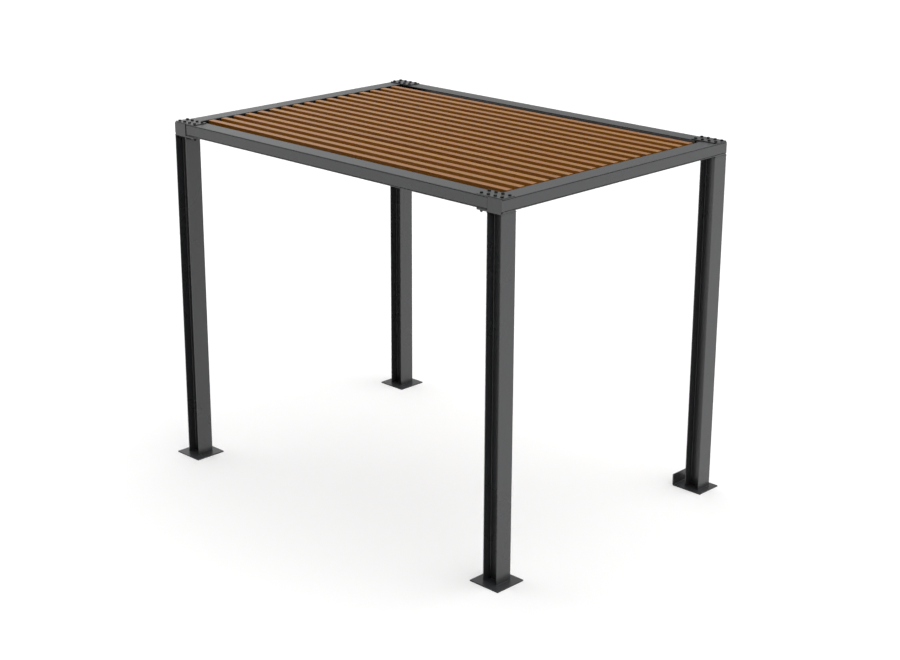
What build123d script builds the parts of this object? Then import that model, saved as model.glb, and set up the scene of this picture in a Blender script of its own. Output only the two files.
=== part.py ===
from build123d import *
import os

os.makedirs("parts", exist_ok=True)

# Bolted steel pergola with a flat roof of wooden slats, in millimetres.
# X runs along the long beams, Y across them and Z up from the floor.
# Front is -Y and right is +X. The origin is on the floor under the middle of the roof.

# Whole frame
frame_length = 3000.0  # over the outer faces of the short beams
frame_depth = 2132.0  # over the end caps of the short beams
frame_height = 2406.0  # floor to the tops of the beams

# Channel beams, welded from plate and open towards the roof
beam_width = 112.0
beam_height = 80.0
flange_plate = 5.0
web_plate = 10.0
seam_height = 3.0  # shadow groove along each side of the web, beside the flange plate
seam_depth = 7.0
beam_joint_gap = 5.0  # between a long beam's end and the short beam it meets
end_cap_thickness = 8.0
end_cap_clip = 7.0  # corners cut off for the weld
end_cap_step = 4.0  # the caps stand out past the long beams' faces by this much

# Posts of wide-flange section welded from plate, with the flanges facing left and right
post_width = 114.0
post_depth = 120.0
post_flange = 6.0
post_web = 5.0
post_root_radius = 4.0  # of the weld between web and flange

# Feet
foot_plate_size = 230.0
foot_plate_thickness = 8.0
upstand_foot_length = 231.0
upstand_foot_depth = 202.0
upstand_foot_overhang = 43.0  # past the post's outer face
upstand_height = 82.0
upstand_bend_radius = 12.0  # outside of the bend
upstand_hole_radius = 5.0
upstand_hole_height = 63.0
upstand_hole_inset = 29.0  # from the front edge of the foot

# Bolted corner joints: one plate above and one below the beams, with bolts right through
joint_plate_length = 198.0
upper_plate_width = 110.0
upper_plate_inset = 3.0  # from the beams' outer faces; the lower plate is flush with the post
upper_plate_thickness = 5.0
lower_plate_thickness = 10.0
joint_plate_clip = 4.0
bolt_hole_radius = 6.75  # clears an M12 bolt
bolt_hole_flats = 12  # the many holes are drawn with flats, to keep the facets few
bolt_columns = 4
bolt_rows = 2
bolt_column_pitch = 53.0
bolt_row_pitch = 64.0

# Wooden slats, resting on a steel bearer along each short beam
slat_pitch = 107.0
slat_width = 45.0
slat_edge_radius = 3.0
slat_end_gap = 18.0
bearer_thickness = 6.0
bearer_width = 85.0
bearer_ledge = 50.0  # how far it reaches in under the slats
bearer_end_gap = 2.0

# Heights and faces that follow from the sizes above
beam_underside = frame_height - beam_height
beam_middle = frame_height - beam_height / 2
post_height = beam_underside - lower_plate_thickness - foot_plate_thickness
side_face = frame_length / 2
cap_face = frame_depth / 2
short_beam_end = cap_face - end_cap_thickness
long_beam_face = cap_face - end_cap_step
slat_height = beam_height - flange_plate - bearer_thickness
slat_count = int(2 * (long_beam_face - beam_width) / slat_pitch)

corners = {
    "front_left": (-1, -1),
    "front_right": (1, -1),
    "back_left": (-1, 1),
    "back_right": (1, 1),
}


def write(piece, label):
    piece.part.label = label
    export_step(piece.part, f"parts/{label}.step")


def post_centre(corner):
    right, back = corners[corner]
    return right * (side_face - post_width / 2), back * (cap_face - post_depth / 2)


def upper_plate_centre(corner):
    right, back = corners[corner]
    x = right * (side_face - upper_plate_inset - joint_plate_length / 2)
    y = back * (cap_face - upper_plate_inset - upper_plate_width / 2)
    return x, y


# Places of the bolts in some of a joint's columns, counted from the frame's end
def bolt_places(corner, columns):
    right, back = corners[corner]
    middle_x, middle_y = upper_plate_centre(corner)
    first_column = right * bolt_column_pitch * (bolt_columns - 1) / 2
    first_row = -bolt_row_pitch * (bolt_rows - 1) / 2
    places = []
    for column in columns:
        for row in range(bolt_rows):
            x = middle_x + first_column - right * column * bolt_column_pitch
            y = middle_y + first_row + row * bolt_row_pitch
            places.append((x, y))
    return places


def is_on_short_beam(column):
    margin = (joint_plate_length - bolt_column_pitch * (bolt_columns - 1)) / 2
    return upper_plate_inset + margin + column * bolt_column_pitch < beam_width


short_beam_columns = [column for column in range(bolt_columns) if is_on_short_beam(column)]
long_beam_columns = [column for column in range(bolt_columns) if not is_on_short_beam(column)]


# Outlines of bolt holes, level with the beams' middle
def bolt_holes(places):
    with BuildSketch(Plane.XY.offset(beam_middle)) as holes:
        with Locations(*places):
            RegularPolygon(bolt_hole_radius, bolt_hole_flats)
    return holes.sketch


# Posts: two flanges, a web between them and the weld fillets at its roots
def make_post(corner):
    x, y = post_centre(corner)
    bay_depth = (post_depth - post_web) / 2
    with BuildPart() as post:
        with BuildSketch(Plane((x, y, foot_plate_thickness))) as section:
            Rectangle(post_width, post_depth)
            with Locations((0, (post_web + bay_depth) / 2), (0, -(post_web + bay_depth) / 2)):
                Rectangle(post_width - 2 * post_flange, bay_depth, mode=Mode.SUBTRACT)
            roots = section.vertices().filter_by_position(Axis.Y, -post_web, post_web)
            fillet(roots, post_root_radius)
        extrude(amount=post_height)
    return post


# Flat square foot under a post
def make_foot(corner):
    x, y = post_centre(corner)
    with BuildPart() as foot:
        with BuildSketch(Plane((x, y, 0))):
            Rectangle(foot_plate_size, foot_plate_size)
        extrude(amount=foot_plate_thickness)
    return foot


# Foot of bent plate, whose inner edge turns up and has one hole
def make_upstand_foot(corner):
    right, back = corners[corner]
    x, y = post_centre(corner)
    front_edge = y - upstand_foot_depth / 2
    outer_edge = right * (side_face + upstand_foot_overhang)
    inner_radius = upstand_bend_radius - foot_plate_thickness
    with BuildPart() as foot:
        profile_plane = Plane(origin=(outer_edge, front_edge, 0), x_dir=(-right, 0, 0), z_dir=(0, right, 0))
        with BuildSketch(profile_plane):
            with BuildLine():
                Polyline(
                    (0, 0),
                    (upstand_foot_length, 0),
                    (upstand_foot_length, upstand_height),
                    (upstand_foot_length - foot_plate_thickness, upstand_height),
                    (upstand_foot_length - foot_plate_thickness, foot_plate_thickness),
                    (0, foot_plate_thickness),
                    close=True,
                )
            make_face()
        extrude(amount=right * upstand_foot_depth)
        bend = foot.edges().filter_by(Axis.Y).sort_by(Axis.X)
        inside_x = outer_edge - right * (upstand_foot_length - foot_plate_thickness)
        outside_x = outer_edge - right * upstand_foot_length
        inside = bend.filter_by_position(Axis.X, inside_x - 0.1, inside_x + 0.1).sort_by(Axis.Z)[0]
        outside = bend.filter_by_position(Axis.X, outside_x - 0.1, outside_x + 0.1).sort_by(Axis.Z)[0]
        fillet(inside, inner_radius)
        fillet(outside, upstand_bend_radius)
        hole_y = front_edge + upstand_hole_inset
        hole_plane = Plane(origin=(inside_x, hole_y, upstand_hole_height), z_dir=(right, 0, 0))
        with Locations(hole_plane):
            Hole(upstand_hole_radius, depth=2 * foot_plate_thickness)
    return foot


# Channel beam drawn with its outer face at the plane's origin and its opening along the plane's x
def make_channel(plane, length, bolts):
    with BuildPart() as beam:
        with BuildSketch(plane):
            flange_middle = (beam_height - flange_plate) / 2
            with Locations((beam_width / 2, flange_middle), (beam_width / 2, -flange_middle)):
                Rectangle(beam_width, flange_plate)
            with Locations((web_plate / 2, 0)):
                Rectangle(web_plate, beam_height - 2 * flange_plate)
            seam_middle = (beam_height - seam_height) / 2 - flange_plate
            with Locations((seam_depth / 2, seam_middle), (seam_depth / 2, -seam_middle)):
                Rectangle(seam_depth, seam_height, mode=Mode.SUBTRACT)
        extrude(amount=length)
        extrude(bolt_holes(bolts), amount=beam_height, both=True, mode=Mode.SUBTRACT)
    return beam


def make_long_beam(back):
    start = -side_face + beam_width + beam_joint_gap
    plane = Plane(origin=(start, back * long_beam_face, beam_middle), x_dir=(0, -back, 0), z_dir=(1, 0, 0))
    ends = [corner for corner in corners if corners[corner][1] == back]
    bolts = [place for corner in ends for place in bolt_places(corner, long_beam_columns)]
    return make_channel(plane, -2 * start, bolts)


def make_short_beam(right):
    plane = Plane(
        origin=(right * side_face, -short_beam_end, beam_middle), x_dir=(-right, 0, 0), z_dir=(0, 1, 0)
    )
    ends = [corner for corner in corners if corners[corner][0] == right]
    bolts = [place for corner in ends for place in bolt_places(corner, short_beam_columns)]
    return make_channel(plane, 2 * short_beam_end, bolts)


# Plate that closes a short beam's end, with its two outer corners clipped
def make_end_cap(corner):
    right, back = corners[corner]
    centre_x = right * (side_face - beam_width / 2)
    plane = Plane(origin=(centre_x, back * short_beam_end, beam_middle), x_dir=(1, 0, 0), z_dir=(0, back, 0))
    with BuildPart() as cap:
        with BuildSketch(plane):
            Rectangle(beam_width, beam_height)
        extrude(amount=end_cap_thickness)
        outer = cap.edges().filter_by(Axis.Y).group_by(Axis.X)[-1 if right > 0 else 0]
        chamfer(outer, end_cap_clip)
    return cap


# Plate of a corner joint, with the whole bolt pattern
def make_joint_plate(corner, centre, underside, width, thickness):
    with BuildPart() as plate:
        with BuildSketch(Plane((*centre, underside))) as outline:
            Rectangle(joint_plate_length, width)
            fillet(outline.vertices(), joint_plate_clip)
        extrude(amount=thickness)
        bolts = bolt_places(corner, range(bolt_columns))
        extrude(bolt_holes(bolts), amount=beam_height, both=True, mode=Mode.SUBTRACT)
    return plate


def make_upper_plate(corner):
    centre = upper_plate_centre(corner)
    return make_joint_plate(corner, centre, frame_height, upper_plate_width, upper_plate_thickness)


def make_lower_plate(corner):
    right, back = corners[corner]
    centre = right * (side_face - joint_plate_length / 2), back * (cap_face - post_depth / 2)
    underside = beam_underside - lower_plate_thickness
    return make_joint_plate(corner, centre, underside, post_depth, lower_plate_thickness)


# Steel bearer along a short beam's lower flange, which carries the ends of the slats
def make_bearer(right):
    length = 2 * (long_beam_face - beam_width - bearer_end_gap)
    inner_edge = side_face - beam_width - bearer_ledge
    centre = right * (inner_edge + bearer_width / 2)
    with BuildPart() as bearer:
        with BuildSketch(Plane((centre, 0, beam_underside + flange_plate))):
            Rectangle(bearer_width, length)
        extrude(amount=bearer_thickness)
    return bearer


# Planed slat with eased long edges
def make_slat(index):
    length = 2 * (side_face - beam_width - slat_end_gap)
    y = (index - (slat_count - 1) / 2) * slat_pitch
    middle = frame_height - slat_height / 2
    with BuildPart() as slat:
        with BuildSketch(Plane(origin=(-length / 2, y, middle), x_dir=(0, 1, 0), z_dir=(1, 0, 0))) as end:
            Rectangle(slat_width, slat_height)
            fillet(end.vertices(), slat_edge_radius)
        extrude(amount=length)
    return slat


for corner in corners:
    write(make_post(corner), f"post_{corner}")
    if corner == "back_right":
        write(make_upstand_foot(corner), f"foot_{corner}")
    else:
        write(make_foot(corner), f"foot_{corner}")
    write(make_end_cap(corner), f"end_cap_{corner}")
    write(make_lower_plate(corner), f"lower_joint_plate_{corner}")
    write(make_upper_plate(corner), f"upper_joint_plate_{corner}")

write(make_long_beam(-1), "long_beam_front")
write(make_long_beam(1), "long_beam_back")
write(make_short_beam(-1), "short_beam_left")
write(make_short_beam(1), "short_beam_right")
write(make_bearer(-1), "slat_bearer_left")
write(make_bearer(1), "slat_bearer_right")

for index in range(slat_count):
    write(make_slat(index), f"slat_{index + 1:02d}")
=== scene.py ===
import bpy
import math
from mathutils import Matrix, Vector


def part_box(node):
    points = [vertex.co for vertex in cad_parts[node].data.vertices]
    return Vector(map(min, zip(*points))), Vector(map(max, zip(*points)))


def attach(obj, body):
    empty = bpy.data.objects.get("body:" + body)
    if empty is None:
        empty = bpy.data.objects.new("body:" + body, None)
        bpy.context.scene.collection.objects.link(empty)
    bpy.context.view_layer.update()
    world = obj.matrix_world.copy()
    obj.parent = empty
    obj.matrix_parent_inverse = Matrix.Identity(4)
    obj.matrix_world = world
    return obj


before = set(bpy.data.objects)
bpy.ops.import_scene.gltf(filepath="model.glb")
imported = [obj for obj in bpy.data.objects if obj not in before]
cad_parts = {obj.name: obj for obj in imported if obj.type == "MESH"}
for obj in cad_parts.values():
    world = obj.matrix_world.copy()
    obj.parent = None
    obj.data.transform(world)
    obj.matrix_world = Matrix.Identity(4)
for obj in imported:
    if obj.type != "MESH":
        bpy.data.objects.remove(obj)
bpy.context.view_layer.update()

# Bolted steel pergola with a flat roof of oiled wooden slats, dressed around its solid model.
# Metres: X runs along the long beams, Y from the front to the back, Z up from the floor.

mm = 0.001
noiseSpan = (0.3, 0.7)  # a noise texture hardly leaves these values
waveSpan = math.tau / 20  # metres from ring to ring of a wave texture at scale 1
print("frame loaded,", len(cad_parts), "nodes")


# An sRGB hex colour as the linear colour that Blender's sockets take, by the sRGB curve
def hexColour(code):
    channels = [int(code[place:place + 2], 16) / 255 for place in (1, 3, 5)]
    return (*[((c + 0.055) / 1.055) ** 2.4 if c > 0.04045 else c / 12.92 for c in channels], 1.0)


# Adds a node; an input is given a value, or the socket that feeds it.
# Sockets that share a name go by number: the two colours of a Mix node are 6 and 7.
def addNode(tree, kind, inputs=None, **settings):
    node = tree.nodes.new(kind)
    for name, value in settings.items():
        setattr(node, name, value)
    for key, value in (inputs or {}).items():
        if isinstance(value, bpy.types.NodeSocket):
            tree.links.new(value, node.inputs[key])
        else:
            node.inputs[key].default_value = value
    return node


def newMaterial(name):
    material = bpy.data.materials.new(name)
    material.use_nodes = True
    material.node_tree.nodes.clear()
    return material, material.node_tree


def nodesNamed(*starts):
    return [node for name, node in sorted(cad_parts.items()) if name.startswith(starts)]


def dress(nodes, material):
    for node in nodes:
        node.data.materials.clear()
        node.data.materials.append(material)


# Mild steel, sandblasted and powder coated in a satin anthracite.
# The eye gets a dark grey film with a soft sheen, which is brightest at a low angle, a faint
# orange peel in close view, edges painted a little paler as a painted highlight, and seams
# painted nearly black as painted shade.
coat = {
    "colour": "#38393b",
    "shade": "#323335",
    # paler colour of the edges, a painted highlight
    "edge": "#56585a",
    "roughness": (0.25, 0.33),
    "ior": 1.65,
    "sheen": 0.5,
    "cloud": 420 * mm,  # drifts of slightly thicker and thinner powder
    "cloudDetail": 3.0,
    "peel": 3.0 * mm,  # really about 1.5 mm, drawn coarser so that it shows at all
    "peelDetail": 1.5,
    "peelHeight": 0.03 * mm,
    "edgeWidth": 1.4 * mm,
    "edgeTurn": (0.995, 0.8),  # cosines of the rounded normal's turn, off an edge and on it
    "edgeSamples": 4,
    "crevice": 9 * mm,  # seams and inner corners of about this size are painted nearly black, as painted shade
    "paintedCreviceShade": "#0a0a0a",
    # the sheen left in a crevice, also cut as painted shade
    "creviceSheen": 0.05,
    "creviceOpen": (0.48, 0.82),  # how open a full crevice is, and a plain face
    "creviceSamples": 8,
    "recess": 45 * mm,  # corners this deep keep only part of their sheen, as painted shade
    "recessSheen": 0.25,  # part of the sheen that is left there
    "recessOpen": (0.45, 0.8),
    "recessSamples": 6,
}


def makePowderCoatedSteel():
    material, tree = newMaterial("powderCoatedSteel")
    place = addNode(tree, "ShaderNodeTexCoord").outputs["Object"]
    cloud = addNode(tree, "ShaderNodeTexNoise",
                    {"Vector": place, "Scale": 1 / coat["cloud"], "Detail": coat["cloudDetail"]})
    peel = addNode(tree, "ShaderNodeTexNoise",
                   {"Vector": place, "Scale": 1 / coat["peel"], "Detail": coat["peelDetail"]})
    film = addNode(tree, "ShaderNodeMix",
                   {"Factor": cloud.outputs["Fac"], 6: hexColour(coat["shade"]),
                    7: hexColour(coat["colour"])}, data_type="RGBA")
    # Painted highlight: the rounded normal finds the edges, and they are mixed towards a paler
    # colour
    rounded = addNode(tree, "ShaderNodeBevel", {"Radius": coat["edgeWidth"]},
                      samples=coat["edgeSamples"])
    flat = addNode(tree, "ShaderNodeNewGeometry").outputs["True Normal"]
    turn = addNode(tree, "ShaderNodeVectorMath", {0: rounded.outputs["Normal"], 1: flat},
                   operation="DOT_PRODUCT")
    edge = addNode(tree, "ShaderNodeMapRange",
                   {"Value": turn.outputs["Value"], "From Min": coat["edgeTurn"][0],
                    "From Max": coat["edgeTurn"][1], "To Min": 0.0, "To Max": 1.0})
    highlightedFilm = addNode(tree, "ShaderNodeMix",
                    {"Factor": edge.outputs["Result"], 6: film.outputs[2],
                     7: hexColour(coat["edge"])}, data_type="RGBA")
    # Painted shade: seams and inner corners darken to near black and lose their sheen
    near = addNode(tree, "ShaderNodeAmbientOcclusion", {"Distance": coat["crevice"]},
                   samples=coat["creviceSamples"])
    crevice = addNode(tree, "ShaderNodeMapRange",
                      {"Value": near.outputs["AO"], "From Min": coat["creviceOpen"][0],
                       "From Max": coat["creviceOpen"][1], "To Min": 1.0, "To Max": 0.0})
    colour = addNode(tree, "ShaderNodeMix",
                     {"Factor": crevice.outputs["Result"], 6: highlightedFilm.outputs[2],
                      7: hexColour(coat["paintedCreviceShade"])}, data_type="RGBA")
    nearSheen = addNode(tree, "ShaderNodeMapRange",
                        {"Value": crevice.outputs["Result"], "To Min": coat["sheen"],
                         "To Max": coat["creviceSheen"]})
    # Painted shade: deep corners keep only part of their sheen, which darkens them
    wide = addNode(tree, "ShaderNodeAmbientOcclusion", {"Distance": coat["recess"]},
                   samples=coat["recessSamples"])
    recess = addNode(tree, "ShaderNodeMapRange",
                     {"Value": wide.outputs["AO"], "From Min": coat["recessOpen"][0],
                      "From Max": coat["recessOpen"][1], "To Min": coat["recessSheen"],
                      "To Max": 1.0})
    sheen = addNode(tree, "ShaderNodeMath",
                    {0: nearSheen.outputs["Result"], 1: recess.outputs["Result"]},
                    operation="MULTIPLY")
    gloss = addNode(tree, "ShaderNodeMapRange",
                    {"Value": cloud.outputs["Fac"], "From Min": noiseSpan[0],
                     "From Max": noiseSpan[1], "To Min": coat["roughness"][0],
                     "To Max": coat["roughness"][1]})
    bump = addNode(tree, "ShaderNodeBump",
                   {"Height": peel.outputs["Fac"], "Distance": coat["peelHeight"],
                    "Strength": 1.0, "Normal": rounded.outputs["Normal"]})
    shader = addNode(tree, "ShaderNodeBsdfPrincipled",
                     {"Base Color": colour.outputs[2], "Roughness": gloss.outputs["Result"],
                      "IOR": coat["ior"], "Specular IOR Level": sheen.outputs[0],
                      "Normal": bump.outputs["Normal"]})
    addNode(tree, "ShaderNodeOutputMaterial", {"Surface": shader.outputs["BSDF"]})
    return material


# Heat-treated pine, planed, with eased edges and an oil stain.
# The eye gets straight growth rings along the slat, fine fibres, a dull sheen, and slats whose
# tones differ from one to the next.
wood = {
    "early": "#a86f12",
    "late": "#8c5707",
    "glaze": "#f6e7ee",  # reddens every other slat
    "glazing": 0.8,  # how strong that glaze is
    "tones": (0.94, 1.05),  # brightness of the darkest and of the palest slat
    "ring": 5.0 * mm,  # growth ring, across the grain
    "ringStretch": 0.035,  # a ring's path wanders little over the slat's length
    "ringWander": 2.2,
    "ringDetail": 2.0,
    "ringDetailScale": 0.35,
    "fibre": 1.2 * mm,
    "fibreStretch": 0.012,
    "fibreDetail": 2.0,
    "fibreRoughness": 0.6,
    "streaks": (0.88, 1.08),  # brightness of the darkest and of the palest fibres
    "grain": 40.0,  # metres of grain that the slats are cut from
    "pith": 60 * mm,  # how far off the tree's middle lies from the slat's
    "roughness": (0.28, 0.36),
    "ior": 1.6,
    "grainHeight": 0.04 * mm,
}

slats = nodesNamed("slat_0", "slat_1")  # not the slat bearers


def makeOiledPine():
    material, tree = newMaterial("oiledPlanedPine")
    firstLow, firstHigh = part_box(slats[0].name)
    lastLow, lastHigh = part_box(slats[-1].name)
    firstMiddle = (firstLow[1] + firstHigh[1]) / 2
    lastMiddle = (lastLow[1] + lastHigh[1]) / 2
    pitch = (lastMiddle - firstMiddle) / (len(slats) - 1)
    place = addNode(tree, "ShaderNodeTexCoord").outputs["Object"]
    parts = addNode(tree, "ShaderNodeSeparateXYZ", {0: place})
    along = addNode(tree, "ShaderNodeMath", {0: parts.outputs["Y"], 1: firstMiddle},
                    operation="SUBTRACT")
    count = addNode(tree, "ShaderNodeMath", {0: along.outputs[0], 1: pitch}, operation="DIVIDE")
    number = addNode(tree, "ShaderNodeMath", {0: count.outputs[0]}, operation="ROUND")
    chance = addNode(tree, "ShaderNodeTexWhiteNoise", {"W": number.outputs[0]},
                     noise_dimensions="1D")
    # Every slat is cut from another place of the log
    shift = addNode(tree, "ShaderNodeVectorMath",
                    {0: chance.outputs["Color"], 1: (wood["grain"], wood["pith"], wood["pith"])},
                    operation="MULTIPLY")
    slatMiddle = addNode(tree, "ShaderNodeMath", {0: number.outputs[0], 1: pitch},
                         operation="MULTIPLY")
    across = addNode(tree, "ShaderNodeMath", {0: along.outputs[0], 1: slatMiddle.outputs[0]},
                     operation="SUBTRACT")
    height = addNode(tree, "ShaderNodeMath", {0: parts.outputs["Z"], 1: firstLow[2]},
                     operation="SUBTRACT")
    local = addNode(tree, "ShaderNodeCombineXYZ",
                    {"X": parts.outputs["X"], "Y": across.outputs[0], "Z": height.outputs[0]})
    inLog = addNode(tree, "ShaderNodeVectorMath",
                    {0: local.outputs[0], 1: shift.outputs[0]}, operation="ADD")
    ringPlace = addNode(tree, "ShaderNodeVectorMath",
                        {0: inLog.outputs[0], 1: (wood["ringStretch"], 1.0, 1.0)},
                        operation="MULTIPLY")
    rings = addNode(tree, "ShaderNodeTexWave",
                    {"Vector": ringPlace.outputs[0], "Scale": waveSpan / wood["ring"],
                     "Distortion": wood["ringWander"], "Detail": wood["ringDetail"],
                     "Detail Scale": wood["ringDetailScale"]},
                    wave_type="RINGS", rings_direction="X", wave_profile="SAW")
    fibrePlace = addNode(tree, "ShaderNodeVectorMath",
                         {0: inLog.outputs[0], 1: (wood["fibreStretch"], 1.0, 1.0)},
                         operation="MULTIPLY")
    fibres = addNode(tree, "ShaderNodeTexNoise",
                     {"Vector": fibrePlace.outputs[0], "Scale": 1 / wood["fibre"],
                      "Detail": wood["fibreDetail"], "Roughness": wood["fibreRoughness"]})
    ringTone = addNode(tree, "ShaderNodeMix",
                       {"Factor": rings.outputs["Fac"], 6: hexColour(wood["early"]),
                        7: hexColour(wood["late"])}, data_type="RGBA")
    # Every other slat is redder, as if the slats came from two packs
    parity = addNode(tree, "ShaderNodeMath", {0: number.outputs[0], 1: 2.0}, operation="MODULO")
    glazing = addNode(tree, "ShaderNodeMapRange",
                      {"Value": parity.outputs[0], "To Min": wood["glazing"], "To Max": 0.0})
    hue = addNode(tree, "ShaderNodeMix",
                  {"Factor": glazing.outputs["Result"], 6: ringTone.outputs[2],
                   7: hexColour(wood["glaze"])}, data_type="RGBA", blend_type="MULTIPLY")
    tone = addNode(tree, "ShaderNodeMapRange",
                   {"Value": chance.outputs["Value"], "To Min": wood["tones"][0],
                    "To Max": wood["tones"][1]})
    streak = addNode(tree, "ShaderNodeMapRange",
                     {"Value": fibres.outputs["Fac"], "From Min": noiseSpan[0],
                      "From Max": noiseSpan[1], "To Min": wood["streaks"][0],
                      "To Max": wood["streaks"][1]})
    brightness = addNode(tree, "ShaderNodeMath",
                         {0: tone.outputs["Result"], 1: streak.outputs["Result"]},
                         operation="MULTIPLY")
    stained = addNode(tree, "ShaderNodeVectorMath",
                      {0: hue.outputs[2], "Scale": brightness.outputs[0]}, operation="SCALE")
    gloss = addNode(tree, "ShaderNodeMapRange",
                    {"Value": rings.outputs["Fac"], "To Min": wood["roughness"][0],
                     "To Max": wood["roughness"][1]})
    relief = addNode(tree, "ShaderNodeMath", {0: fibres.outputs["Fac"], 1: rings.outputs["Fac"]},
                     operation="ADD")
    bump = addNode(tree, "ShaderNodeBump",
                   {"Height": relief.outputs[0], "Distance": wood["grainHeight"],
                    "Strength": 1.0})
    shader = addNode(tree, "ShaderNodeBsdfPrincipled",
                     {"Base Color": stained.outputs[0], "Roughness": gloss.outputs["Result"],
                      "IOR": wood["ior"], "Normal": bump.outputs["Normal"]})
    addNode(tree, "ShaderNodeOutputMaterial", {"Surface": shader.outputs["BSDF"]})
    return material


# Hot-forged steel bolts, zinc plated and passivated black.
# The eye gets near black metal with a fine cloudy grain and a blurred highlight.
fastener = {
    "colour": "#1c1d1e",
    "roughness": (0.38, 0.55),
    "sheen": 0.2,  # the passivated zinc reflects less than a clear film would
    "tint": (0.7, 1.3),  # of the colour, from grain to grain
    "grain": 1.5 * mm,
    "grainDetail": 2.0,
    "grainHeight": 0.02 * mm,
}


def makeBlackZincSteel():
    material, tree = newMaterial("blackZincPlatedSteel")
    place = addNode(tree, "ShaderNodeTexCoord").outputs["Object"]
    grain = addNode(tree, "ShaderNodeTexNoise",
                    {"Vector": place, "Scale": 1 / fastener["grain"],
                     "Detail": fastener["grainDetail"]})
    tint = addNode(tree, "ShaderNodeMapRange",
                   {"Value": grain.outputs["Fac"], "To Min": fastener["tint"][0],
                    "To Max": fastener["tint"][1]})
    colour = addNode(tree, "ShaderNodeVectorMath",
                     {0: hexColour(fastener["colour"])[:3], "Scale": tint.outputs["Result"]},
                     operation="SCALE")
    gloss = addNode(tree, "ShaderNodeMapRange",
                    {"Value": grain.outputs["Fac"], "To Min": fastener["roughness"][0],
                     "To Max": fastener["roughness"][1]})
    bump = addNode(tree, "ShaderNodeBump",
                   {"Height": grain.outputs["Fac"], "Distance": fastener["grainHeight"]})
    shader = addNode(tree, "ShaderNodeBsdfPrincipled",
                     {"Base Color": colour.outputs[0], "Roughness": gloss.outputs["Result"],
                      "Specular IOR Level": fastener["sheen"], "Normal": bump.outputs["Normal"]})
    addNode(tree, "ShaderNodeOutputMaterial", {"Surface": shader.outputs["BSDF"]})
    return material


powderCoatedSteel = makePowderCoatedSteel()
oiledPine = makeOiledPine()
blackZincSteel = makeBlackZincSteel()

dress(slats, oiledPine)
dress(nodesNamed("post_", "foot_", "end_cap_", "lower_joint", "upper_joint", "long_", "short_",
                 "slat_bearer"), powderCoatedSteel)
print("steel and wood dressed")


# Through bolts of the four corner joints, M12 with a washer under every nut
bolts = {
    "columns": 4,
    "rows": 2,
    "columnPitch": 53 * mm,
    "rowPitch": 64 * mm,
    "acrossFlats": 18 * mm,
    "headHeight": 7.5 * mm,
    "nutHeight": 10.8 * mm,
    "washerDiameter": 24 * mm,
    "washerThickness": 2.5 * mm,
    "shankDiameter": 12 * mm,
    "threadEnd": 4.5 * mm,
    "threadPitch": 1.75 * mm,
    "threadDepth": 0.13,  # part of the shank's radius
    "coneFoot": 0.80,  # radii of the cone that turns off a hexagon's corners,
    "coneTop": 0.475,  # as parts of the width across flats
    "roundSides": 36,
    "shankSides": 20,
    "seed": 4,
}


def newGeometryTree(name, sizes):
    tree = bpy.data.node_groups.new(name, "GeometryNodeTree")
    tree.interface.new_socket("Geometry", in_out="INPUT", socket_type="NodeSocketGeometry")
    tree.interface.new_socket("Geometry", in_out="OUTPUT", socket_type="NodeSocketGeometry")
    kinds = {int: "NodeSocketInt", float: "NodeSocketFloat", tuple: "NodeSocketVector"}
    for size, value in sizes.items():
        tree.interface.new_socket(size, in_out="INPUT", socket_type=kinds[type(value)])
    return tree


# Runs a tree on an object and returns what it makes as a plain mesh object
def growMesh(name, holder, tree, sizes):
    modifier = holder.modifiers.new(name, "NODES")
    modifier.node_group = tree
    for item in tree.interface.items_tree:
        if item.in_out == "INPUT" and item.name in sizes:
            modifier[item.identifier] = sizes[item.name]
    bpy.context.view_layer.update()
    graph = bpy.context.evaluated_depsgraph_get()
    mesh = bpy.data.meshes.new_from_object(holder.evaluated_get(graph))
    holder.modifiers.clear()
    bpy.data.objects.remove(holder)
    mesh.name = name
    piece = bpy.data.objects.new(name, mesh)
    bpy.context.scene.collection.objects.link(piece)
    return piece


def emptyHolder(name):
    holder = bpy.data.objects.new(name, bpy.data.meshes.new(name))
    bpy.context.scene.collection.objects.link(holder)
    return holder


# A hexagon of a bolt head or nut, its corners turned off on the side away from the washer
def addHexagon(tree, acrossFlats, height, middle):
    radius = addNode(tree, "ShaderNodeMath", {0: acrossFlats, 1: math.sqrt(3)},
                     operation="DIVIDE")
    prism = addNode(tree, "GeometryNodeMeshCylinder",
                    {"Vertices": 6, "Radius": radius.outputs[0], "Depth": height},
                    fill_type="NGON")
    foot = addNode(tree, "ShaderNodeMath", {0: acrossFlats, 1: bolts["coneFoot"]},
                   operation="MULTIPLY")
    top = addNode(tree, "ShaderNodeMath", {0: acrossFlats, 1: bolts["coneTop"]},
                  operation="MULTIPLY")
    cone = addNode(tree, "GeometryNodeMeshCone",
                   {"Vertices": bolts["roundSides"], "Radius Top": top.outputs[0],
                    "Radius Bottom": foot.outputs[0], "Depth": height}, fill_type="NGON")
    lowered = addNode(tree, "ShaderNodeMath", {0: height, 1: -0.5}, operation="MULTIPLY")
    drop = addNode(tree, "ShaderNodeCombineXYZ", {"Z": lowered.outputs[0]})
    seated = addNode(tree, "GeometryNodeTransform",
                     {"Geometry": cone.outputs["Mesh"], "Translation": drop.outputs[0]})
    turned = addNode(tree, "GeometryNodeMeshBoolean", operation="INTERSECT", solver="EXACT")
    tree.links.new(prism.outputs["Mesh"], turned.inputs["Mesh 2"])
    tree.links.new(seated.outputs["Geometry"], turned.inputs["Mesh 2"])
    lift = addNode(tree, "ShaderNodeCombineXYZ", {"Z": middle})
    return addNode(tree, "GeometryNodeTransform",
                   {"Geometry": turned.outputs["Mesh"], "Translation": lift.outputs[0]}).outputs[0]


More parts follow.
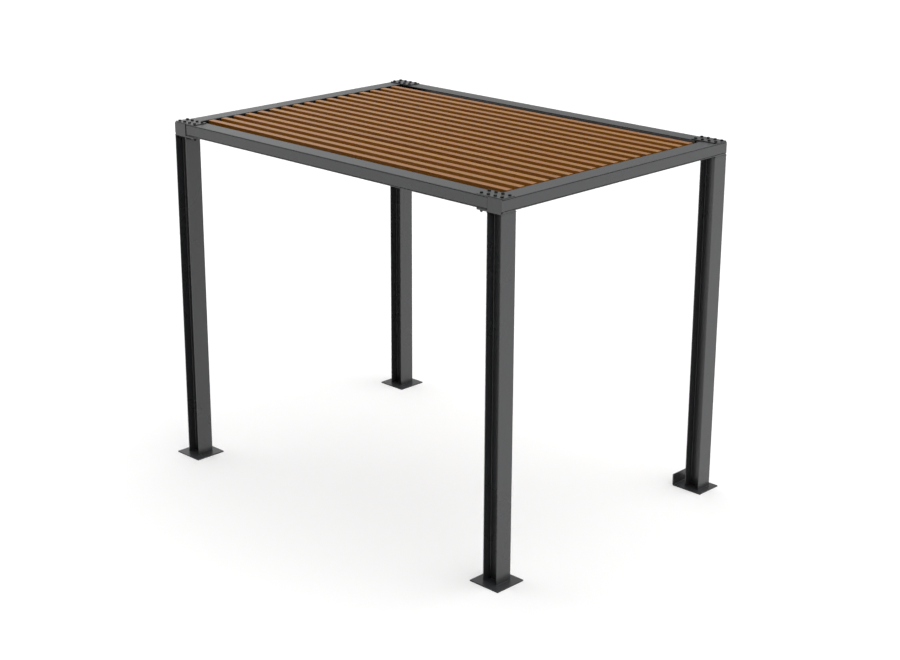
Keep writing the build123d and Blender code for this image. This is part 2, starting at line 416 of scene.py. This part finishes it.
def addDisc(tree, diameter, thickness, middle, sides):
    radius = addNode(tree, "ShaderNodeMath", {0: diameter, 1: 0.5}, operation="MULTIPLY")
    disc = addNode(tree, "GeometryNodeMeshCylinder",
                   {"Vertices": sides, "Radius": radius.outputs[0], "Depth": thickness},
                   fill_type="NGON")
    lift = addNode(tree, "ShaderNodeCombineXYZ", {"Z": middle})
    return addNode(tree, "GeometryNodeTransform",
                   {"Geometry": disc.outputs["Mesh"], "Translation": lift.outputs[0]}).outputs[0]


def makeBolts():
    frontLow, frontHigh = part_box("upper_joint_plate_front_left")
    backLow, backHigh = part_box("upper_joint_plate_back_right")
    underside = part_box("lower_joint_plate_front_left")[0][2]
    front = [(frontLow[axis] + frontHigh[axis]) / 2 for axis in (0, 1)]
    back = [(backLow[axis] + backHigh[axis]) / 2 for axis in (0, 1)]
    sizes = {
        "Columns": bolts["columns"],
        "Rows": bolts["rows"],
        "Column Pitch": bolts["columnPitch"],
        "Row Pitch": bolts["rowPitch"],
        "Corner Spread": (back[0] - front[0], back[1] - front[1], 0.0),
        "Top": frontHigh[2],
        "Grip": frontHigh[2] - underside,
        "Across Flats": bolts["acrossFlats"],
        "Head Height": bolts["headHeight"],
        "Nut Height": bolts["nutHeight"],
        "Washer Diameter": bolts["washerDiameter"],
        "Washer Thickness": bolts["washerThickness"],
        "Shank Diameter": bolts["shankDiameter"],
        "Thread End": bolts["threadEnd"],
        "Thread Pitch": bolts["threadPitch"],
        "Seed": bolts["seed"],
    }
    tree = newGeometryTree("cornerBolts", sizes)
    size = addNode(tree, "NodeGroupInput").outputs

    # Head, counted up from the upper plate
    headMiddle = addNode(tree, "ShaderNodeMath", {0: size["Head Height"], 1: 0.5},
                         operation="MULTIPLY")
    head = addHexagon(tree, size["Across Flats"], size["Head Height"], headMiddle.outputs[0])

    # Nut and washer, built the same way up and turned over, under the lower plate
    washerMiddle = addNode(tree, "ShaderNodeMath", {0: size["Washer Thickness"], 1: 0.5},
                           operation="MULTIPLY")
    washer = addDisc(tree, size["Washer Diameter"], size["Washer Thickness"],
                     washerMiddle.outputs[0], bolts["roundSides"])
    nutMiddle = addNode(tree, "ShaderNodeMath",
                        {0: size["Nut Height"], 1: 0.5, 2: size["Washer Thickness"]},
                        operation="MULTIPLY_ADD")
    hexagonNut = addHexagon(tree, size["Across Flats"], size["Nut Height"], nutMiddle.outputs[0])

    # Threaded end that stands out of the nut, with its grooves
    nutTop = addNode(tree, "ShaderNodeMath", {0: size["Washer Thickness"], 1: size["Nut Height"]},
                     operation="ADD")
    endTop = addNode(tree, "ShaderNodeMath", {0: nutTop.outputs[0], 1: size["Thread End"]},
                     operation="ADD")
    endStart = addNode(tree, "ShaderNodeCombineXYZ", {"Z": nutTop.outputs[0]})
    endStop = addNode(tree, "ShaderNodeCombineXYZ", {"Z": endTop.outputs[0]})
    endLine = addNode(tree, "GeometryNodeCurvePrimitiveLine",
                      {"Start": endStart.outputs[0], "End": endStop.outputs[0]})
    halfPitch = addNode(tree, "ShaderNodeMath", {0: size["Thread Pitch"], 1: 0.5},
                        operation="MULTIPLY")
    stations = addNode(tree, "GeometryNodeResampleCurve",
                       {"Curve": endLine.outputs[0], "Length": halfPitch.outputs[0]},
                       mode="LENGTH")
    index = addNode(tree, "GeometryNodeInputIndex")
    inGroove = addNode(tree, "ShaderNodeMath", {0: index.outputs[0], 1: 2.0},
                       operation="MODULO")
    fullness = addNode(tree, "ShaderNodeMath",
                       {0: inGroove.outputs[0], 1: -bolts["threadDepth"], 2: 1.0},
                       operation="MULTIPLY_ADD")
    shankRadius = addNode(tree, "ShaderNodeMath", {0: size["Shank Diameter"], 1: 0.5},
                          operation="MULTIPLY")
    threadRadius = addNode(tree, "ShaderNodeMath",
                           {0: shankRadius.outputs[0], 1: fullness.outputs[0]},
                           operation="MULTIPLY")
    circle = addNode(tree, "GeometryNodeCurvePrimitiveCircle",
                     {"Resolution": bolts["shankSides"], "Radius": 1.0})
    threadedEnd = addNode(tree, "GeometryNodeCurveToMesh",
                          {"Curve": stations.outputs[0], "Profile Curve": circle.outputs[0],
                           "Scale": threadRadius.outputs[0], "Fill Caps": True})
    nut = addNode(tree, "GeometryNodeJoinGeometry")
    for part in (washer, hexagonNut, threadedEnd.outputs[0]):
        tree.links.new(part, nut.inputs[0])

    # Shank, right through plates and beams
    shankMiddle = addNode(tree, "ShaderNodeMath", {0: size["Grip"], 1: -0.5},
                          operation="MULTIPLY")
    shank = addDisc(tree, size["Shank Diameter"], size["Grip"], shankMiddle.outputs[0],
                    bolts["shankSides"])

    # Where the bolts stand: a grid in each corner, on a grid of corners
    columnGaps = addNode(tree, "ShaderNodeMath", {0: size["Columns"], 1: 1.0},
                         operation="SUBTRACT")
    columnSpan = addNode(tree, "ShaderNodeMath",
                         {0: size["Column Pitch"], 1: columnGaps.outputs[0]},
                         operation="MULTIPLY")
    rowGaps = addNode(tree, "ShaderNodeMath", {0: size["Rows"], 1: 1.0}, operation="SUBTRACT")
    rowSpan = addNode(tree, "ShaderNodeMath", {0: size["Row Pitch"], 1: rowGaps.outputs[0]},
                      operation="MULTIPLY")
    grid = addNode(tree, "GeometryNodeMeshGrid",
                   {"Size X": columnSpan.outputs[0], "Size Y": rowSpan.outputs[0],
                    "Vertices X": size["Columns"], "Vertices Y": size["Rows"]})
    spread = addNode(tree, "ShaderNodeSeparateXYZ", {0: size["Corner Spread"]})
    corners = addNode(tree, "GeometryNodeMeshGrid",
                      {"Size X": spread.outputs[0], "Size Y": spread.outputs[1], "Vertices X": 2,
                       "Vertices Y": 2})
    eachCorner = addNode(tree, "GeometryNodeInstanceOnPoints",
                         {"Points": corners.outputs["Mesh"], "Instance": grid.outputs["Mesh"]})
    places = addNode(tree, "GeometryNodeRealizeInstances", {"Geometry": eachCorner.outputs[0]})
    atTop = addNode(tree, "ShaderNodeCombineXYZ", {"Z": size["Top"]})
    topPlaces = addNode(tree, "GeometryNodeTransform",
                        {"Geometry": places.outputs[0], "Translation": atTop.outputs[0]})
    underPlate = addNode(tree, "ShaderNodeMath", {0: size["Top"], 1: size["Grip"]},
                         operation="SUBTRACT")
    atUnder = addNode(tree, "ShaderNodeCombineXYZ", {"Z": underPlate.outputs[0]})
    underPlaces = addNode(tree, "GeometryNodeTransform",
                          {"Geometry": places.outputs[0], "Translation": atUnder.outputs[0]})

    # Spanners leave every head and nut at an angle of its own
    def standOn(points, geometry, seedShift, flip):
        seed = addNode(tree, "ShaderNodeMath", {0: size["Seed"], 1: seedShift}, operation="ADD")
        angle = addNode(tree, "FunctionNodeRandomValue",
                        {"Seed": seed.outputs[0], 3: math.tau / 6})  # up to one flat on
        turn = addNode(tree, "ShaderNodeCombineXYZ", {"X": flip, "Z": angle.outputs[1]})
        return addNode(tree, "GeometryNodeInstanceOnPoints",
                       {"Points": points, "Instance": geometry, "Rotation": turn.outputs[0]})

    heads = standOn(topPlaces.outputs[0], head, 0.0, 0.0)
    nuts = standOn(underPlaces.outputs[0], nut.outputs[0], 1.0, math.pi)
    shanks = standOn(topPlaces.outputs[0], shank, 2.0, 0.0)
    together = addNode(tree, "GeometryNodeJoinGeometry")
    for group in (heads, nuts, shanks):
        tree.links.new(group.outputs[0], together.inputs[0])
    real = addNode(tree, "GeometryNodeRealizeInstances", {"Geometry": together.outputs[0]})
    finished = addNode(tree, "GeometryNodeSetMaterial",
                       {"Geometry": real.outputs[0], "Material": blackZincSteel})
    addNode(tree, "NodeGroupOutput", {0: finished.outputs[0]})

    piece = growMesh("corner_bolts", emptyHolder("boltHolder"), tree, sizes)
    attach(piece, "root")
    return piece


cornerBolts = makeBolts()
print("corner bolts:", len(cornerBolts.data.polygons), "faces")


# Fillet welds all round the feet and the heads of the posts, under the same powder coat.
# The eye gets a thin bead with the ripples of single drops, and a dark line of painted shade at
# its toes.
welds = {
    "radius": 2.6 * mm,
    "flange": 6 * mm,  # thickness, as in the posts' section
    "web": 5 * mm,
    "drop": 3.0 * mm,  # length of one ripple
    "stations": 3,  # along a ripple
    "rise": 0.10,  # how much a ripple swells
    "wander": 0.14,  # how much the bead's size drifts along the seam
    "wanderLength": 23 * mm,
    "profile": 10,  # sides of the bead's round section
}


# Outline of a post's section at one height, going round its flanges and its web
def postOutline(low, high, height):
    middle = (low[1] + high[1]) / 2
    left = low[0] + welds["flange"]
    right = high[0] - welds["flange"]
    front = middle - welds["web"] / 2
    back = middle + welds["web"] / 2
    around = ((low[0], low[1]), (left, low[1]), (left, front), (right, front),
              (right, low[1]), (high[0], low[1]), (high[0], high[1]), (right, high[1]),
              (right, back), (left, back), (left, high[1]), (low[0], high[1]))
    return [(x, y, height) for x, y in around]


def makeWelds():
    corners = []
    edges = []
    for post in nodesNamed("post_"):
        low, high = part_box(post.name)
        for height in (low[2], high[2]):
            outline = postOutline(low, high, height)
            first = len(corners)
            corners += outline
            edges += [(first + step, first + (step + 1) % len(outline))
                      for step in range(len(outline))]
    holder = emptyHolder("weldHolder")
    holder.data.from_pydata(corners, edges, [])
    sizes = {
        "Radius": welds["radius"],
        "Station": welds["drop"] / welds["stations"],
        "Stations": welds["stations"],
        "Rise": welds["rise"],
        "Wander": welds["wander"],
        "Wander Scale": 1 / welds["wanderLength"],
        "Profile": welds["profile"],
    }
    tree = newGeometryTree("postWelds", sizes)
    size = addNode(tree, "NodeGroupInput").outputs
    seam = addNode(tree, "GeometryNodeMeshToCurve", {0: size["Geometry"]})
    stations = addNode(tree, "GeometryNodeResampleCurve",
                       {"Curve": seam.outputs[0], "Length": size["Station"]}, mode="LENGTH")
    index = addNode(tree, "GeometryNodeInputIndex").outputs[0]
    step = addNode(tree, "ShaderNodeMath", {0: index, 1: size["Stations"]}, operation="MODULO")
    along = addNode(tree, "ShaderNodeMath", {0: step.outputs[0], 1: size["Stations"]},
                    operation="DIVIDE")
    arc = addNode(tree, "ShaderNodeMath", {0: along.outputs[0], 1: math.pi}, operation="MULTIPLY")
    hump = addNode(tree, "ShaderNodeMath", {0: arc.outputs[0]}, operation="SINE")
    swell = addNode(tree, "ShaderNodeMath", {0: hump.outputs[0], 1: size["Rise"]},
                    operation="MULTIPLY")
    place = addNode(tree, "GeometryNodeInputPosition").outputs[0]
    drift = addNode(tree, "ShaderNodeTexNoise", {"Vector": place, "Scale": size["Wander Scale"]})
    around = addNode(tree, "ShaderNodeMapRange",
                     {"Value": drift.outputs["Fac"], "From Min": noiseSpan[0],
                      "From Max": noiseSpan[1], "To Min": -1.0, "To Max": 1.0})
    wander = addNode(tree, "ShaderNodeMath", {0: around.outputs[0], 1: size["Wander"]},
                     operation="MULTIPLY")
    change = addNode(tree, "ShaderNodeMath", {0: swell.outputs[0], 1: wander.outputs[0]},
                     operation="ADD")
    factor = addNode(tree, "ShaderNodeMath", {0: change.outputs[0], 1: 1.0}, operation="ADD")
    radius = addNode(tree, "ShaderNodeMath", {0: factor.outputs[0], 1: size["Radius"]},
                     operation="MULTIPLY")
    circle = addNode(tree, "GeometryNodeCurvePrimitiveCircle",
                     {"Resolution": size["Profile"], "Radius": 1.0})
    bead = addNode(tree, "GeometryNodeCurveToMesh",
                   {"Curve": stations.outputs[0], "Profile Curve": circle.outputs[0],
                    "Scale": radius.outputs[0]})
    real = addNode(tree, "GeometryNodeRealizeInstances", {"Geometry": bead.outputs[0]})
    finished = addNode(tree, "GeometryNodeSetMaterial",
                       {"Geometry": real.outputs[0], "Material": powderCoatedSteel})
    addNode(tree, "NodeGroupOutput", {0: finished.outputs[0]})
    piece = growMesh("post_welds", holder, tree, sizes)
    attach(piece, "root")
    return piece


postWelds = makeWelds()
print("post welds:", len(postWelds.data.polygons), "faces")


# Plain pale floor. Camera and glossy rays see it lifted to white, and it keeps soft shadows.
ground = {
    "size": 160.0,  # metres
    "colour": "#a0a0a0",
    "glow": 0.25,
    "catch": 0.75,  # how much of the light that falls on it shows to the camera
}


def makeFloor():
    material, tree = newMaterial("plainPaleFloor")
    path = addNode(tree, "ShaderNodeLightPath").outputs
    seen = addNode(tree, "ShaderNodeMath", {0: path["Is Camera Ray"], 1: path["Is Glossy Ray"]},
                   operation="MAXIMUM")
    shown = addNode(tree, "ShaderNodeMath", {0: seen.outputs[0], 1: path["Is Transmission Ray"]},
                    operation="MAXIMUM")
    bounce = addNode(tree, "ShaderNodeBsdfDiffuse", {"Color": hexColour(ground["colour"])})
    shadowed = addNode(tree, "ShaderNodeBsdfDiffuse",
                       {"Color": (ground["catch"], ground["catch"], ground["catch"], 1.0)})
    glow = addNode(tree, "ShaderNodeEmission", {"Strength": ground["glow"]})
    white = addNode(tree, "ShaderNodeAddShader", {0: shadowed.outputs[0], 1: glow.outputs[0]})
    mixed = addNode(tree, "ShaderNodeMixShader",
                    {0: shown.outputs[0], 1: bounce.outputs[0], 2: white.outputs[0]})
    addNode(tree, "ShaderNodeOutputMaterial", {"Surface": mixed.outputs[0]})
    half = ground["size"] / 2
    mesh = bpy.data.meshes.new("floor")
    mesh.from_pydata([(-half, -half, 0), (half, -half, 0), (half, half, 0), (-half, half, 0)],
                     [], [(0, 1, 2, 3)])
    floor = bpy.data.objects.new("floor", mesh)
    bpy.context.scene.collection.objects.link(floor)
    floor.data.materials.append(material)


# White studio: brightest overhead, dimmer low in front of the object and low behind it.
# Each patch is round: the direction of its middle, the cosines off that direction at which it
# begins and is full, and its level.
studio = {
    "overhead": {"middle": (0.0, 0.0, 1.0), "fade": (0.45, 0.90), "level": 2.25},
    "front": {"middle": (0.0, -0.87, 0.5), "fade": (0.40, 0.95), "level": 0.12},
    "behind": {"middle": (-0.35, 0.87, 0.34), "fade": (0.74, 1.0), "level": 0.34},
}


def makeStudio():
    world = bpy.data.worlds.new("whiteStudio")
    bpy.context.scene.world = world
    world.use_nodes = True
    tree = world.node_tree
    tree.nodes.clear()
    path = addNode(tree, "ShaderNodeLightPath").outputs
    direction = addNode(tree, "ShaderNodeTexCoord").outputs["Generated"]
    level = 1.0
    for patch in studio.values():
        toward = addNode(tree, "ShaderNodeVectorMath", {0: direction, 1: patch["middle"]},
                         operation="DOT_PRODUCT")
        change = addNode(tree, "ShaderNodeMapRange",
                         {"Value": toward.outputs["Value"], "From Min": patch["fade"][0],
                          "From Max": patch["fade"][1], "To Min": 1.0, "To Max": patch["level"]},
                         interpolation_type="SMOOTHSTEP")
        level = addNode(tree, "ShaderNodeMath", {0: level, 1: change.outputs[0]},
                        operation="MULTIPLY").outputs[0]
    strength = addNode(tree, "ShaderNodeMath", {0: path["Is Camera Ray"], 1: level},
                       operation="MAXIMUM")
    back = addNode(tree, "ShaderNodeBackground",
                   {"Color": (1.0, 1.0, 1.0, 1.0), "Strength": strength.outputs[0]})
    addNode(tree, "ShaderNodeOutputWorld", {"Surface": back.outputs[0]})


# Camera found from the photo's edges, for its frame of 900 by 660
view = {
    "place": (8.0278, -8.2012, 4.8920),
    "heading": 44.972,  # degrees, turned left from looking along +Y
    "pitch": 17.884,  # degrees downward
    "lens": 70.963,
    "shift": (0.02638, -0.02547),
    "reach": 400.0,  # metres, past the far edge of the floor
}


def makeCamera():
    camera = bpy.data.cameras.new("camera")
    camera.lens = view["lens"]
    camera.shift_x = view["shift"][0]
    camera.shift_y = view["shift"][1]
    camera.clip_end = view["reach"]
    holder = bpy.data.objects.new("camera", camera)
    holder.location = view["place"]
    holder.rotation_euler = (math.radians(90 - view["pitch"]), 0.0,
                             math.radians(view["heading"]))
    bpy.context.scene.collection.objects.link(holder)
    bpy.context.scene.camera = holder


makeFloor()
makeStudio()
makeCamera()
bpy.context.scene.view_settings.view_transform = "Standard"
print("floor, studio and camera set")
